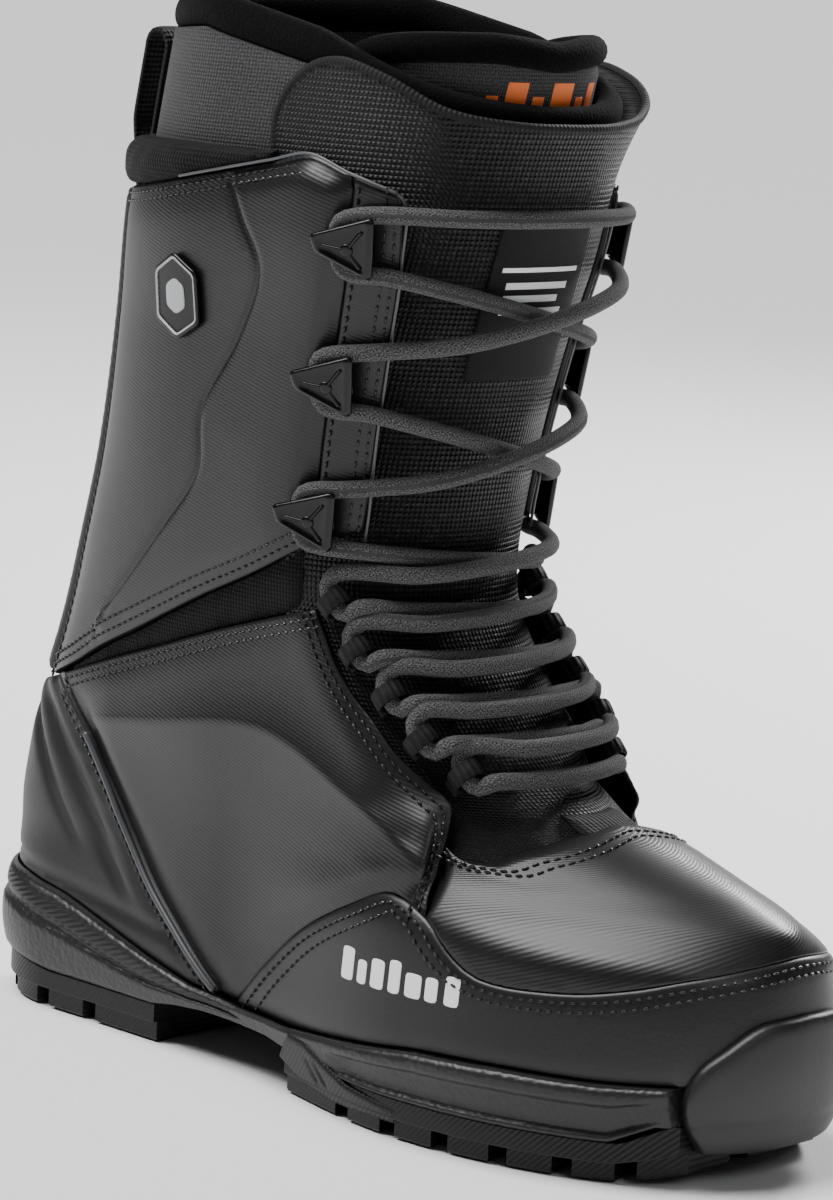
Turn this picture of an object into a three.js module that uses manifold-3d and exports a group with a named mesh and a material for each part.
// Lace-up snowboard boot, right foot, in millimetres with +Z up.
// The toe points to -Y, the outer (lateral) side is -X and the inner (medial) side is +X.
// A station is written (f, z): f is the distance forward of the heel, z the height over the ground.
import * as THREE from "three";
import Module from "manifold-3d";
import { mergeVertices } from "three/addons/utils/BufferGeometryUtils.js";

const wasm = await Module();
wasm.setup();

// ---- driving dimensions -------------------------------------------------------------------
const FOOT_LENGTH = 304; // heel tread to toe tip of the upper
const SHELL_HEIGHT = 262; // top edge of the outer shell at the back
const WIDTH_SCALE = 1; // 1 gives a 110 mm wide forefoot
const GAP = 0.3; // clearance between neighbouring pieces
const SHELL_WALL = 5.6; // upper material with its padding
const TONGUE_DEPTH = 2.9; // outer face of the tongue under the outer face of the shell
const LINER_WALL = 6.1; // foam wall of the removable inner boot
const SOLE_FLARE = 4; // how far the sole stands out from the upper
const LACE_RADIUS = 2.6; // round woven lace
const WEDGE_FRONT = 19; // height of the flex notch at its front end
const OUTSOLE_TOP = 12; // height of the rubber tread plate
const LUG_DEPTH = 6; // depth of the tread grooves
const STRAP = 2; // webbing thickness
const ORIGIN_F = 152; // station that becomes y = 0

const NOMINAL_LENGTH = 304;
const NOMINAL_HEIGHT = 262;
const ANKLE_Z = 100; // the foot is below this height and the shaft above it
const sf = FOOT_LENGTH / NOMINAL_LENGTH;
const shaftScale = (SHELL_HEIGHT - ANKLE_Z) / (NOMINAL_HEIGHT - ANKLE_Z);

// Stations are scaled here and nowhere else: length everywhere, height only above the ankle.
const F = (f) => f * sf;
const Z = (z) => (z <= ANKLE_Z ? z : ANKLE_Z + (z - ANKLE_Z) * shaftScale);
const line = (pts) => pts.map(([f, z]) => [F(f), Z(z)]);

// ---- profile curves of the upper ------------------------------------------------------------
// Monotone cubic through [z, value] pairs, held constant past both ends.
function curve(pairs) {
  const x = pairs.map((p) => Z(p[0]));
  const y = pairs.map((p) => p[1]);
  const n = x.length;
  const d = [];
  for (let i = 0; i < n - 1; i++) d.push((y[i + 1] - y[i]) / (x[i + 1] - x[i]));
  const m = [d[0]];
  for (let i = 1; i < n - 1; i++) {
    m.push(d[i - 1] * d[i] <= 0 ? 0 : (2 * d[i - 1] * d[i]) / (d[i - 1] + d[i]));
  }
  m.push(d[n - 2]);
  return (z) => {
    if (z <= x[0]) return y[0];
    if (z >= x[n - 1]) return y[n - 1];
    let i = 0;
    while (z > x[i + 1]) i++;
    const h = x[i + 1] - x[i];
    const t = (z - x[i]) / h;
    const a = y[i] * (1 + 2 * t) * (1 - t) ** 2 + y[i + 1] * t * t * (3 - 2 * t);
    return a + h * t * (1 - t) * ((1 - t) * m[i] - t * m[i + 1]);
  };
}
const lengths = (pairs) => curve(pairs.map(([z, v]) => [z, v * sf]));
const widths = (pairs) => curve(pairs.map(([z, v]) => [z, v * WIDTH_SCALE]));

const backCurve = lengths([
  [0, 7], [12, 2], [27, 0], [42, 0], [60, 0], [80, 2.5], [100, 7], [120, 14],
  [142, 20.5], [180, 31], [220, 38], [257, 42.5], [320, 54],
]);
const frontCurve = lengths([
  [0, 288], [15, 300], [37, 304], [58, 302], [68, 297], [76, 281], [84, 258], [92, 235],
  [104, 215], [125, 194], [150, 180], [175, 183], [216, 192], [257, 203], [300, 214],
]);
const heelWidth = widths([
  [0, 32], [27, 38], [42, 36], [60, 34], [85, 34], [110, 37], [142, 41], [180, 45],
  [220, 49], [257, 52], [320, 52],
]);
const waistWidth = widths([
  [0, 32], [27, 40], [42, 39], [70, 38], [100, 40], [130, 42], [180, 47], [220, 50],
  [257, 54], [320, 54],
]);
const ballWidth = widths([
  [0, 47], [27, 55], [42, 54], [60, 52], [76, 47], [92, 44], [130, 44], [175, 46],
  [216, 49], [257, 54], [320, 54],
]);
const heelRound = curve([[0, 34], [42, 38], [100, 45], [142, 58], [257, 66], [320, 66]]);
const toeRound = curve([
  [0, 82], [37, 88], [58, 92], [68, 100], [76, 105], [84, 85], [92, 58], [110, 40],
  [140, 40], [175, 52], [257, 55], [320, 60],
]);
const toeSquareness = curve([[0, 2.3], [58, 2.2], [70, 1.7], [96, 1.7], [115, 2.2], [320, 2.3]]);

const HEEL_AXIS = 45;
const WAIST_SPAN = 70;
const BALL_SPAN = 90;
const TOE_SWING = 9; // how far the toe swings to the inner side
const smooth = (t) => {
  const u = Math.min(1, Math.max(0, t));
  return u * u * (3 - 2 * u);
};
const cap = (t, n) => {
  const u = Math.min(1, Math.max(0, t));
  return (1 - (1 - u) ** n) ** (1 / n);
};
const centreX = (f) => TOE_SWING * smooth((f / sf - 200) / 115);

// A profile moved outwards by off, rounded like a ball rolled along it.
const RING = [-1, -0.8, -0.5, -0.2, 0, 0.2, 0.5, 0.8, 1];
function rolled(profile, z, off, side) {
  const grow = side * Math.sign(off);
  let best = null;
  for (const s of RING) {
    const v = profile(z + s * off) + side * Math.sign(off) * Math.sqrt(1 - s * s) * Math.abs(off);
    if (best === null || (v - best) * grow > 0) best = v;
  }
  return best;
}
const backAt = (z, off) => (off === 0 ? backCurve(z) : rolled(backCurve, z, off, -1));
const frontAt = (z, off) => (off === 0 ? frontCurve(z) : rolled(frontCurve, z, off, 1));

// Point of the upper at angle a round the slice at height z, moved outwards by off.
// a = 0 is the front, a = PI the back and 0 < a < PI the outer side.
function skin(a, z, off) {
  const back = backAt(z, off);
  const front = frontAt(z, off);
  const f = (front + back) / 2 + ((front - back) / 2) * Math.cos(a);
  const h = heelWidth(z);
  const w = waistWidth(z);
  const toWaist = smooth((f / sf - HEEL_AXIS) / WAIST_SPAN);
  const toBall = smooth((f / sf - HEEL_AXIS - WAIST_SPAN) / BALL_SPAN);
  const half = h + (w - h) * toWaist + (ballWidth(z) - w) * toBall + off;
  const heel = cap((f - back) / Math.max(14, heelRound(z) + off), 2.1);
  const toe = cap((front - f) / Math.max(14, toeRound(z) + off), toeSquareness(z));
  const x = centreX(f) - Math.sign(Math.sin(a)) * half * heel * toe;
  return new THREE.Vector3(Math.sin(a) === 0 ? centreX(f) : x, ORIGIN_F - f, z);
}
// The angle at which the slice at height z reaches station f on the outer (1) or inner (-1) side.
function angleAt(f, z, side) {
  const back = backAt(z, 0);
  const front = frontAt(z, 0);
  const c = (f - (front + back) / 2) / ((front - back) / 2);
  return side * Math.acos(Math.min(1, Math.max(-1, c)));
}
// Point, outward normal and the two surface directions at station (f, z).
function frameAt(f, z, side, off = 0) {
  const a = angleAt(f, z, side);
  const p = skin(a, z, off);
  const da = 0.05 * side;
  const up = skin(angleAt(f, z + 2, side), z + 2, off).sub(skin(angleAt(f, z - 2, side), z - 2, off));
  const round = skin(a + da, z, off).sub(skin(a - da, z, off));
  const normal = new THREE.Vector3().crossVectors(up, round).multiplyScalar(-side).normalize();
  if (normal.dot(new THREE.Vector3(-side, 0, 0)) < 0 && Math.abs(a) > 0.3) normal.negate();
  up.normalize();
  return { p, normal, up, front: new THREE.Vector3().crossVectors(up, normal).multiplyScalar(side) };
}

// ---- solids -----------------------------------------------------------------------------------
const ROUND_STEPS = 32;
const LEVELS = [
  0, 14, 28, 42, 56, 64, 70, 75, 80, 85, 91, 99, 110, 124, 141, 162, 190, 222, 256, 288, 326,
].map(Z);

function toManifold(geometry) {
  const g = geometry.clone();
  g.deleteAttribute("normal");
  g.deleteAttribute("uv");
  const merged = mergeVertices(g.index ? g.toNonIndexed() : g, 1e-4);
  return new wasm.Manifold(
    new wasm.Mesh({
      numProp: 3,
      vertProperties: new Float32Array(merged.attributes.position.array),
      triVerts: new Uint32Array(merged.index.array),
    }),
  );
}
function fromTriangles(points, triangles) {
  const g = new THREE.BufferGeometry();
  g.setAttribute("position", new THREE.Float32BufferAttribute(points.flatMap((p) => p.toArray()), 3));
  g.setIndex(triangles.flat());
  const made = toManifold(g);
  return made.volume() < 0 ? toManifold(flipped(g)) : made;
}
function flipped(g) {
  const index = Array.from(g.index.array);
  for (let i = 0; i < index.length; i += 3) [index[i], index[i + 1]] = [index[i + 1], index[i]];
  return g.clone().setIndex(index);
}
// Rings of equal length joined into one closed body with a fan over each end.
function loft(rings) {
  const n = rings[0].length;
  const points = rings.flat();
  const triangles = [];
  for (let j = 0; j < rings.length - 1; j++) {
    for (let i = 0; i < n; i++) {
      const k = (i + 1) % n;
      triangles.push([j * n + i, (j + 1) * n + i, (j + 1) * n + k]);
      triangles.push([j * n + i, (j + 1) * n + k, j * n + k]);
    }
  }
  for (const [ring, base, up] of [[rings[0], 0, true], [rings.at(-1), (rings.length - 1) * n, false]]) {
    const mid = ring.reduce((s, p) => s.add(p), new THREE.Vector3()).divideScalar(n);
    const c = points.push(mid) - 1;
    for (let i = 0; i < n; i++) {
      const k = (i + 1) % n;
      triangles.push(up ? [base + i, base + k, c] : [base + k, base + i, c]);
    }
  }
  return fromTriangles(points, triangles);
}
const cache = new Map();
// Everything inside the upper moved outwards by off.
function body(off) {
  if (!cache.has(off)) {
    const angles = Array.from({ length: ROUND_STEPS }, (_, i) => (2 * Math.PI * i) / ROUND_STEPS);
    cache.set(off, loft(LEVELS.map((z) => angles.map((a) => skin(a, z, off)))));
  }
  return cache.get(off);
}
const layer = (outer, inner) => body(outer).subtract(body(inner));

const SIDE_REACH = 120;
// A side-view outline of stations [f, z] carried across the width from x0 to x1.
function prism(outline, x0 = -SIDE_REACH, x1 = SIDE_REACH) {
  const shape = new THREE.Shape(outline.map(([f, z]) => new THREE.Vector2(f, z)));
  const g = new THREE.ExtrudeGeometry(shape, { depth: x1 - x0, bevelEnabled: false });
  const m = new THREE.Matrix4().set(0, 0, -1, x1, -1, 0, 0, ORIGIN_F, 0, 1, 0, 0, 0, 0, 0, 1);
  return toManifold(g.applyMatrix4(m));
}
// The outline of a thin strip along a polyline, used to part two panels.
function strip(pts, width) {
  const left = [];
  const right = [];
  pts.forEach((p, i) => {
    const a = pts[Math.max(0, i - 1)];
    const b = pts[Math.min(pts.length - 1, i + 1)];
    const l = Math.hypot(b[0] - a[0], b[1] - a[1]);
    const n = [(-(b[1] - a[1]) / l) * (width / 2), ((b[0] - a[0]) / l) * (width / 2)];
    left.push([p[0] + n[0], p[1] + n[1]]);
    right.unshift([p[0] - n[0], p[1] - n[1]]);
  });
  return [...left, ...right];
}
const seam = (pts, width = GAP) => prism(strip(pts, width));
const raised = (pts, dz) => pts.map(([f, z]) => [f, z + dz]);
const shifted = (pts, df) => pts.map(([f, z]) => [f + df, z]);
const above = (pts, top = 400) => [...pts, [pts.at(-1)[0], top], [pts[0][0], top]];
const below = (pts, floor = -30) => [...pts, [pts.at(-1)[0], floor], [pts[0][0], floor]];

// The body out of several that holds the given station of the shell wall.
function pick(bodies, f, z, side, off = -1.5) {
  const g = new THREE.BoxGeometry(2.4, 2.4, 2.4);
  const p = frameAt(F(f), Z(z), side || 1, off).p;
  if (side === 0) p.set(centreX(F(f)), p.y, p.z);
  const probe = toManifold(g.translate(p.x, p.y, p.z));
  const held = bodies.map((b) => b.intersect(probe).volume());
  const best = held.indexOf(Math.max(...held));
  if (held[best] <= 0) throw new Error(`no panel at ${f}, ${z}, ${side}`);
  return bodies[best];
}
const largest = (m) => m.decompose().sort((a, b) => b.volume() - a.volume())[0];

// ---- seam lines of the upper --------------------------------------------------------------------
const featherLine = line([
  [-30, 42], [-3, 42], [22, 41], [42, 38], [62, 33], [85, 27], [106, 22], [129, 20],
  [155, 20.5], [188, 24.5], [216, 28], [243, 29], [271, 29], [291, 29.5], [330, 31],
]);
const randLine = line([
  [124, 8], [126, 21], [140, 36], [157, 50], [179, 62], [197, 69], [212, 65], [221, 58],
  [233, 52], [258, 52], [275, 55], [288, 59], [300, 64], [330, 72],
]);
const quarterFront = line([
  [154, 145], [162, 131], [169, 123], [179, 115], [189, 106], [199, 99], [205, 95],
  [208, 84], [211, 64],
]);
const counterFront = line([
  [24, 128], [31, 112], [39, 101], [50, 89], [58, 79], [70, 64], [83, 50], [100, 36],
  [117, 23], [130, 10],
]);
const quarterTop = line([[-30, 97], [18, 101], [37, 107], [62, 115.5], [82, 122], [115, 133], [149, 143]]);
const shaftLow = line([
  [-30, 98], [18, 102.2], [37, 109.5], [52, 117], [73, 126.5], [90, 134.5], [106, 142],
  [130, 152.5], [149, 143 + WEDGE_FRONT], [175, 172],
]);
const eyestayFront = line([
  [160, 150], [166, 166], [170, 193], [173, 208], [177, 226], [182, 246], [186, 282],
]);
const throatEdge = line([[206, 89], [209, 83.5], [217, 80.5], [224, 80.5], [232, 84], [245, 97]]);
const shellTop = line([
  [20, 256], [42, 258.5], [77, 262], [101, 266], [139, 273.5], [155, 276.5], [169, 272], [200, 262],
]);
const EYESTAY_WIDTH = 14;
const SPINE_WIDTH = 11;
const spineLine = [100, 115, 130, 150, 175, 200, 230, 270].map((z) => [
  backCurve(Z(z)) + F(SPINE_WIDTH),
  Z(z),
]);

// The open throat that the tongue fills.
const throat = [
  ...throatEdge,
  [F(330), Z(110)],
  [F(330), Z(300)],
  ...eyestayFront.slice().reverse(),
  ...quarterFront.slice(0, 6),
];
const tongueOutline = line([
  [190, 84], [222, 72], [248, 82], [330, 96], [330, 288], [207, 286.5], [196, 290], [178, 300],
  [161, 304], [149, 300], [138, 290], [140, 262], [150, 225], [148, 190], [142, 160], [142, 140],
  [158, 118], [176, 100],
]);
const tongueRoom = line([
  [189.4, 83.6], [222, 71.4], [248, 81.4], [331, 95.4], [331, 330], [130, 330], [137, 290],
  [139.4, 262], [149.4, 225], [147.4, 190], [141.4, 160], [141.4, 139.8], [157.5, 117.6], [175.5, 99.6],
]);

// ---- upper --------------------------------------------------------------------------------------
const INNER_FACE = -SHELL_WALL;
const floorLine = raised(featherLine, GAP);
const shellWall = layer(0, INNER_FACE)
  .intersect(prism(above(floorLine)))
  .subtract(prism(throat))
  .subtract(body(-TONGUE_DEPTH + GAP).intersect(prism(tongueRoom)));
const collarTop = line([[20, 270], [42, 271.5], [77, 273], [101, 273.5], [125, 273], [140, 274]]);
const footLimit = [...quarterTop, ...line([[160, 148], [160, 330]]), [F(330), 330]];
const footWall = shellWall.intersect(prism(below(footLimit)));
const footPanels = footWall
  .subtract(seam(randLine))
  .subtract(seam(quarterFront.slice(5)))
  .subtract(seam(counterFront))
  .decompose();
const cuffWall = shellWall.intersect(prism(above(shaftLow, 400)));
const cuffPanels = cuffWall
  .subtract(prism(above(shellTop, 400)))
  .subtract(seam(spineLine))
  .subtract(seam(shifted(eyestayFront, -EYESTAY_WIDTH)))
  .decompose();

const nodes = new Map();
const put = (name, solid) => nodes.set(name, solid);
const SIDES = [["lateral", 1], ["medial", -1]];

put("rand", pick(footPanels, 260, 40, 1));
put("vamp", pick(footPanels, 270, 60, 1));
put("heel_counter", pick(footPanels, 30, 60, 1));
put("backstay", pick(cuffPanels, 34, 180, 0, -1.5));
for (const [side, s] of SIDES) {
  put(`quarter_${side}`, pick(footPanels, 100, 70, s));
  put(`shaft_${side}`, pick(cuffPanels, 110, 200, s));
  put(`eyestay_${side}`, pick(cuffPanels, 178 - EYESTAY_WIDTH / 2 / sf, 230, s));
}
const collarBand = [...raised(shellTop.slice(0, 5), GAP), ...collarTop.slice().reverse().slice(1)];
put("shell_collar", largest(layer(-1, INNER_FACE).intersect(prism(collarBand))));

// Knit gusset that shows in the flex notch, set back from the outer face.
const gussetBand = [
  ...raised(quarterTop.slice(3), GAP + 0.4),
  ...raised(shaftLow.slice(4, 9), -GAP - 0.4).reverse(),
];
const gussets = layer(-TONGUE_DEPTH, INNER_FACE)
  .intersect(prism(gussetBand))
  .subtract(prism(tongueRoom))
  .decompose();
for (const [side, s] of SIDES) put(`ankle_gusset_${side}`, pick(gussets, 120, 141, s, -4.2));

// ---- tongue and inner boot ------------------------------------------------------------------------
put("tongue", largest(layer(-TONGUE_DEPTH, INNER_FACE).intersect(prism(tongueOutline))));
const LABEL = { low: 214, high: 250, half: 19 };
put(
  "tongue_label",
  largest(
    layer(-TONGUE_DEPTH + GAP + 0.9, -TONGUE_DEPTH + GAP).intersect(
      prism(line([[170, LABEL.low], [260, LABEL.low], [260, LABEL.high], [170, LABEL.high]]),
        -LABEL.half, LABEL.half),
    ),
  ),
);

const BOARD = 2.5; // lasting board that closes the upper underneath
const LINER_SOLE = 5;
const FOOTBED = 3.5;
const linerOut = INNER_FACE - GAP;
const linerIn = linerOut - LINER_WALL;
const band = (low, high) => [...raised(featherLine, low), ...raised(featherLine, high).reverse()];
put("lasting_board", largest(body(linerOut).intersect(prism(band(GAP, GAP + BOARD)))));
const linerFloor = 2 * GAP + BOARD;
const linerShape = body(linerOut)
  .intersect(prism(above(raised(featherLine, linerFloor))))
  .subtract(body(linerIn).intersect(prism(above(raised(featherLine, linerFloor + LINER_SOLE)))));
// The inner boot parts along the same notch, so its leg leans with the shaft.
const linerRim = [...quarterTop, [F(240), Z(143)]];
const linerSplit = [...shaftLow.slice(0, 9), [F(240), Z(143 + WEDGE_FRONT) + F(30)]];
const linerTop = line([[20, 318], [60, 319], [100, 321], [150, 312], [190, 296], [240, 288]]);
put("liner_foot", largest(linerShape.intersect(prism(below([...linerRim, [F(330), Z(143)]])))));
const COLLAR_ROLL = 11;
const cuffLiner = linerShape.intersect(prism(above(linerSplit, 400)));
put(
  "liner_cuff",
  largest(cuffLiner.intersect(prism(below(raised(linerTop, -COLLAR_ROLL - GAP), 40)))),
);
put(
  "liner_collar",
  largest(
    layer(linerOut, linerIn - 2).intersect(
      prism([...raised(linerTop, -COLLAR_ROLL), ...linerTop.slice().reverse()]),
    ),
  ),
);
const bedFloor = linerFloor + LINER_SOLE + GAP;
put("footbed", largest(body(linerIn - GAP).intersect(prism(band(bedFloor, bedFloor + FOOTBED)))));
put(
  "liner_tongue",
  largest(
    layer(linerIn - 2 - GAP, linerIn - 9).intersect(
      prism(line([[158, 158], [150, 200], [152, 262], [158, 300], [175, 308], [195, 303], [230, 296],
        [230, 158]])),
    ),
  ),
);

// ---- sole -------------------------------------------------------------------------------------------
const soleBody = body(SOLE_FLARE);
const treadTop = line([
  [-30, 17], [4, 16], [40, OUTSOLE_TOP], [88, OUTSOLE_TOP], [100, 14], [112, 15], [145, 15],
  [160, 13], [200, OUTSOLE_TOP], [276, OUTSOLE_TOP], [287, 18], [330, 18],
]);
const archLow = line([[84, -5], [88, 6], [94, 14], [106, 15.4], [140, 15.4], [152, 8], [158, -5]]);
const bumperBack = [[F(289), -20], [F(289), 20], [F(291), 30], [F(296), 47], [F(299), 51], [F(330), 54]];
const midsoleShape = soleBody
  .intersect(prism([...raised(treadTop, GAP), ...featherLine.slice().reverse()]))
  .subtract(prism([[F(289) - GAP, -20], [F(330), -20], [F(330), 60], [F(289) - GAP, 60]]));
put("midsole", largest(midsoleShape));
const bumper = soleBody
  .subtract(body(GAP))
  .intersect(prism([[F(289), 18], ...bumperBack.slice(2), [F(330), 18]]))
  .add(soleBody.intersect(prism([[F(289), 8], [F(289), 18], [F(291), 29], [F(330), 30], [F(330), 8]])));
const plate = soleBody.intersect(prism(below(treadTop, 0)));
const toeSpring = prism(line([[270, -1], [285, 2.5], [300, 7], [330, 16], [330, -10], [270, -10]]));
// Tread grooves: [front station, width, slant in degrees].
const HEEL_GROOVES = [[22, 6, 12], [44, 6, 12], [66, 6, 12]];
const FORE_GROOVES = [170, 190, 210, 230, 250, 268].map((f) => [f, 6, -14]);
function groove([f, width, slant]) {
  const g = new THREE.BoxGeometry(SIDE_REACH * 2, width, LUG_DEPTH * 2);
  g.rotateZ((slant * Math.PI) / 180);
  return toManifold(g.translate(0, ORIGIN_F - F(f), 0));
}
function centreGroove(f0, f1, width) {
  const g = new THREE.BoxGeometry(width, F(f1 - f0), LUG_DEPTH * 2);
  return toManifold(g.translate(2, ORIGIN_F - F((f0 + f1) / 2), 0));
}
const cut = (solid, tools) => tools.reduce((s, t) => s.subtract(t), solid);
const heelPlate = plate.intersect(prism(line([[-30, -5], [90, -5], [90, 60], [-30, 60]])));
put("outsole_heel", largest(cut(heelPlate.subtract(prism(archLow)), [
  ...HEEL_GROOVES.map(groove), centreGroove(16, 82, 9)])));
const forePlate = plate.intersect(prism(line([[150, -5], [330, -5], [330, 60], [150, 60]])));
put("outsole_forefoot", largest(cut(forePlate.subtract(prism(archLow)).add(bumper), [
  toeSpring, ...FORE_GROOVES.map(groove), centreGroove(176, 262, 9)])));

// ---- small pieces -----------------------------------------------------------------------------------
// A round cord through a list of points, one ring of corners at each.
function cord(points, radius, sides) {
  const rings = [];
  let across = null;
  points.forEach((p, i) => {
    const before = points[Math.max(0, i - 1)];
    const after = points[Math.min(points.length - 1, i + 1)];
    const ahead = after.clone().sub(before).normalize();
    if (!across) across = new THREE.Vector3(ahead.y, -ahead.x, 0).normalize();
    across = across.clone().addScaledVector(ahead, -across.dot(ahead)).normalize();
    const other = new THREE.Vector3().crossVectors(ahead, across);
    rings.push(Array.from({ length: sides }, (_, k) => {
      const t = (2 * Math.PI * k) / sides;
      return p.clone()
        .addScaledVector(across, radius * Math.cos(t))
        .addScaledVector(other, radius * Math.sin(t));
    }));
  });
  return loft(rings);
}
// The points of a smooth curve through the given ones, closer together where it bends.
function smoothed(points, bend = 0.5) {
  const path = new THREE.CatmullRomCurve3(points, false, "centripetal");
  const n = points.length - 1;
  const out = [];
  for (let i = 0; i < n; i++) {
    const turned = path.getTangent(i / n).angleTo(path.getTangent((i + 1) / n));
    const steps = Math.max(1, Math.ceil(turned / bend));
    for (let k = 0; k < steps; k++) out.push(path.getPoint((i + k / steps) / n));
  }
  out.push(points[n].clone());
  return out;
}
// Box or plate placed by a surface frame: u forward, v up, w outwards.
function place(geometry, frame) {
  const m = new THREE.Matrix4().makeBasis(frame.front, frame.up, frame.normal);
  const handed = m.determinant() < 0;
  if (handed) geometry.scale(1, 1, 1);
  m.setPosition(frame.p);
  const g = geometry.applyMatrix4(m);
  return handed ? toManifold(flipped(mergeVertices(g))) : toManifold(g);
}

const HOOKS = [[173, 253], [163, 213], [155.5, 172.5]];
const HOOK = { ahead: 7, behind: 13, half: 9.5, stem: 5.4, cover: 2.4, room: 2 * LACE_RADIUS + 1.2 };
function hookSolid(f, z, s) {
  const frame = frameAt(F(f), Z(z), s, 0);
  const kite = new THREE.Shape([
    new THREE.Vector2(HOOK.ahead, HOOK.half * 0.95),
    new THREE.Vector2(-HOOK.behind, HOOK.half * 0.42),
    new THREE.Vector2(-HOOK.behind * 0.9, -HOOK.half * 0.1),
    new THREE.Vector2(HOOK.ahead * 0.75, -HOOK.half),
  ]);
  const cover = new THREE.ExtrudeGeometry(kite, { depth: HOOK.cover, bevelEnabled: false });
  cover.translate(0, 0, HOOK.room + GAP);
  const stem = new THREE.BoxGeometry(HOOK.stem, HOOK.half, HOOK.room + 1.2);
  stem.translate(0, 0, (HOOK.room + 1.2) / 2 + GAP);
  return place(cover, frame).add(place(stem, frame));
}
SIDES.forEach(([side, s]) =>
  HOOKS.forEach(([f, z], i) => put(`lace_hook_${side}_${i + 1}`, hookSolid(f, z, s))));

const BADGE = { f: 100, z: 231, thick: 1.2 };
const badgeOutline = line([[0, 13], [9.5, 7.5], [9.5, -7.5], [0, -13], [-9.5, -7.5], [-9.5, 7.5]]
  .map(([u, v]) => [BADGE.f + u, BADGE.z + v]));
put("badge", largest(layer(GAP + BADGE.thick, GAP).intersect(prism(badgeOutline, -SIDE_REACH, 0))));

const PIPE_RADIUS = 1.3;
for (const [side, s] of SIDES) {
  const route = counterFront.slice(2, 9).map(([f, z]) => frameAt(f, z, s, PIPE_RADIUS + GAP).p);
  put(`heel_piping_${side}`, cord(route, PIPE_RADIUS, 6).subtract(body(GAP)));
}

// Webbing loops along the quarter edge; each holds one turn of the lace.
const LOOPS = [[155.5, 141.5], [164.5, 128.2], [176.5, 117], [189, 106], [201, 97.6]];
// A thicker lace gets a wider loop that stands further off the edge.
const LOOP_INNER = 1.9 * LACE_RADIUS - 1.24;
const LOOP = {
  reach: 8.6,
  lift: 1.3 * LACE_RADIUS - 0.78,
  inner: LOOP_INNER,
  outer: LOOP_INNER + 1.4,
  width: 5.6,
  edge: 2.6,
};
function loopFrame(i, s) {
  const [f, z] = LOOPS[i];
  const [f0, z0] = [f - 3, z + 3];
  const frame = frameAt(F(f), Z(z), s, 0);
  const ahead = frameAt(F(f + 3), Z(z - 3), s, 0).p.sub(frameAt(F(f0), Z(z0), s, 0).p).normalize();
  const n = frame.normal;
  const along = ahead.sub(n.clone().multiplyScalar(ahead.dot(n))).normalize();
  const inward = new THREE.Vector3().crossVectors(along, n).multiplyScalar(-s);
  return { p: frame.p, normal: n, along, inward };
}
function loopSolid(i, s) {
  const { p, normal, along, inward } = loopFrame(i, s);
  const third = new THREE.Vector3().crossVectors(inward, normal);
  const turn = new THREE.Matrix4().makeBasis(inward, normal, third);
  turn.setPosition(p);
  const ring = (r, w) => {
    const g = new THREE.CylinderGeometry(r, r, w, 10);
    g.rotateX(Math.PI / 2);
    return toManifold(g.translate(LOOP.reach, LOOP.lift, 0).applyMatrix4(turn));
  };
  const tab = new THREE.BoxGeometry(LOOP.reach - LOOP.edge, STRAP, LOOP.width);
  tab.translate((LOOP.reach + LOOP.edge) / 2, -1.2, 0);
  return largest(ring(LOOP.outer, LOOP.width)
    .add(toManifold(tab.applyMatrix4(turn)))
    .subtract(ring(LOOP.inner, LOOP.width * 3)));
}
SIDES.forEach(([side, s]) => LOOPS.forEach((_, i) => put(`lace_loop_${side}_${i + 1}`, loopSolid(i, s))));

// ---- lace ---------------------------------------------------------------------------------------------
const RUN = LACE_RADIUS + GAP + 0.6; // lace centre over the shell
const UNDER = 1.5; // lace centre over the shell face where it crosses the tongue
// Turn of the lace round the stem of a hook, from its top corner to its bottom corner.
function hookTurn(i, s) {
  const [f, z] = HOOKS[i];
  const frame = frameAt(F(f), Z(z), s, 0);
  const at = (u, v) => frame.p.clone().addScaledVector(frame.front, u)
    .addScaledVector(frame.up, v).addScaledVector(frame.normal, RUN + 0.25);
  const back = -HOOK.stem / 2 - LACE_RADIUS - 0.9;
  const v = HOOK.half / 2 + LACE_RADIUS + 0.9;
  const top = [at(8 * sf, v + 0.6), at(-0.5, v), at(back * 0.75, v * 0.84), at(back, v * 0.4)];
  const low = [at(back, -v * 0.4), at(back * 0.75, -v * 0.84), at(-0.5, -v), at(8 * sf, -v - 0.6)];
  return [...top, ...low];
}
function loopTurn(i, s) {
  const { p, normal, along, inward } = loopFrame(i, s);
  const at = (u, v, w) => p.clone().addScaledVector(inward, u).addScaledVector(along, v)
    .addScaledVector(normal, w);
  const side = (dir) => [[5.6, 6.3], [1.3, 5.3], [0, 3.4]]
    .map(([u, v]) => at(LOOP.reach + u, dir * v, LOOP.lift));
  return [...side(-1), ...side(1).reverse()];
}
const turnAt = (level, s) => (level < 3 ? hookTurn(level, s) : loopTurn(level - 3, s));
// Points between two turns over the tongue; the upper strand of a crossing arches over the other.
function crossing(from, to, over) {
  const points = [];
  const steps = 5;
  for (let i = 1; i <= steps; i++) {
    const t = i / (steps + 1);
    const edge = Math.abs(2 * t - 1);
    const low = UNDER + (RUN + 0.6 - UNDER) * edge ** 2;
    const arch = over ? (2 * LACE_RADIUS + 0.8) * Math.sqrt(1 - edge * edge) : 0;
    points.push(frontPoint(from.x + (to.x - from.x) * t, from.z + (to.z - from.z) * t, low + arch));
  }
  return points;
}
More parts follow.
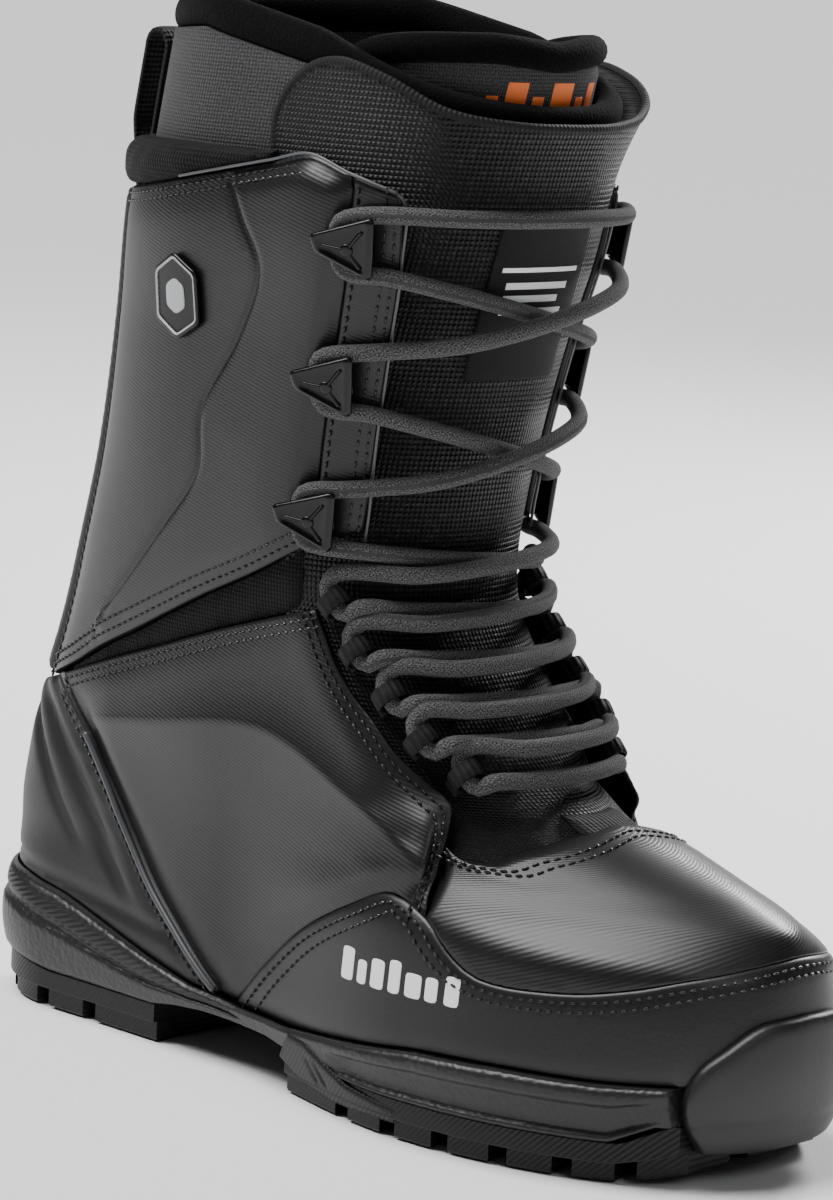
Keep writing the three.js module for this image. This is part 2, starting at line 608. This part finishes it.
// The point of the moved-out upper with the given x and z near the front.
function frontPoint(x, z, off) {
  let low = 0;
  let high = 1.35;
  const s = x - centreX(frontCurve(z)) < 0 ? 1 : -1;
  for (let i = 0; i < 30; i++) {
    const mid = (low + high) / 2;
    if ((skin(s * mid, z, off).x - x) * s > 0) low = mid;
    else high = mid;
  }
  return skin(s * low, z, off);
}
function strand(firstSide) {
  const points = [];
  let s = firstSide;
  for (let level = 0; level < HOOKS.length + LOOPS.length; level++) {
    const turn = turnAt(level, s);
    if (level) points.push(...crossing(points.at(-1), turn[0], s === 1));
    points.push(...turn);
    s = -s;
  }
  return points;
}
// Both ends are tucked behind the upper inner hook.
const down = strand(-1).slice(3);
const up = strand(1).reverse();
const lowBar = crossing(down.at(-1), up[0], false);
const lastTurn = hookTurn(0, -1).slice(0, 2);
const topBar = crossing(up.at(-1), lastTurn[0], false);
const laceRoute = smoothed([...down, ...lowBar, ...up, ...topBar, ...lastTurn]);
put("lace", cord(laceRoute, LACE_RADIUS, 5));

// ---- pull loop ----------------------------------------------------------------------------------------
const PULL = { low: 250, high: 308, half: 13, depth: 11 };
const pullOutline = (grow) => {
  const inner = [];
  const outer = [];
  for (let i = 0; i <= 10; i++) {
    const t = i / 10;
    const z = Z(PULL.low + 4 + (PULL.high - PULL.low - 10) * t);
    const open = PULL.depth * Math.min(1, 0.25 + 1.4 * t);
    inner.push([backCurve(z) - 0.7 - grow, z]);
    outer.push([backCurve(z) - 0.7 - open + grow, z]);
  }
  return [inner, outer];
};
const [nearSide, farSide] = pullOutline(0);
const tip = Z(PULL.high);
const arch = [0.15, 0.35, 0.5, 0.65, 0.85].map((t) => {
  const a = nearSide.at(-1);
  const b = farSide.at(-1);
  return [a[0] + (b[0] - a[0]) * t, tip - 6 + 6 * Math.sin(Math.PI * t)];
});
const outerLoop = [[nearSide[0][0], Z(PULL.low)], ...nearSide, ...arch, ...farSide.slice().reverse(),
  [farSide[0][0], Z(PULL.low)]];
const [nearIn, farIn] = pullOutline(STRAP * 0.9);
const holeArch = arch.map(([f, z]) => [f, z - STRAP * 0.9]);
const hole = [...nearIn.slice(1), ...holeArch.slice(1, 4), ...farIn.slice(1).reverse()];
const pullBody = prism(outerLoop, -PULL.half, PULL.half);
put("pull_loop", pullBody.subtract(prism(hole, -PULL.half - 5, PULL.half + 5)));

// ---- the group ------------------------------------------------------------------------------------------
const COLOURS = {
  rubber: 0x1c1c1e, knit: 0x55565a, fabric: 0x2c2d31, shell: 0x3a3b40, plastic: 0x121214, lace: 0x5c5d60,
};
const colourOf = (name) =>
  /outsole|counter|backstay/.test(name) ? "rubber"
    : /hook|badge|piping/.test(name) ? "plastic"
      : /liner/.test(name) ? "knit"
        : /lace$|lace_loop/.test(name) ? "lace"
          : /tongue|gusset|collar|pull/.test(name) ? "fabric" : "shell";

const boot = new THREE.Group();
for (const [name, solid] of nodes) {
  const mesh = solid.getMesh();
  const count = mesh.numProp;
  const xyz = new Float32Array(mesh.numVert * 3);
  for (let i = 0; i < mesh.numVert; i++) {
    for (let k = 0; k < 3; k++) xyz[i * 3 + k] = mesh.vertProperties[i * count + k];
  }
  const g = new THREE.BufferGeometry();
  g.setAttribute("position", new THREE.BufferAttribute(xyz, 3));
  g.setIndex(new THREE.BufferAttribute(mesh.triVerts, 1));
  const made = new THREE.Mesh(g, new THREE.MeshStandardMaterial({ color: COLOURS[colourOf(name)] }));
  made.name = name;
  boot.add(made);
}
export default boot;
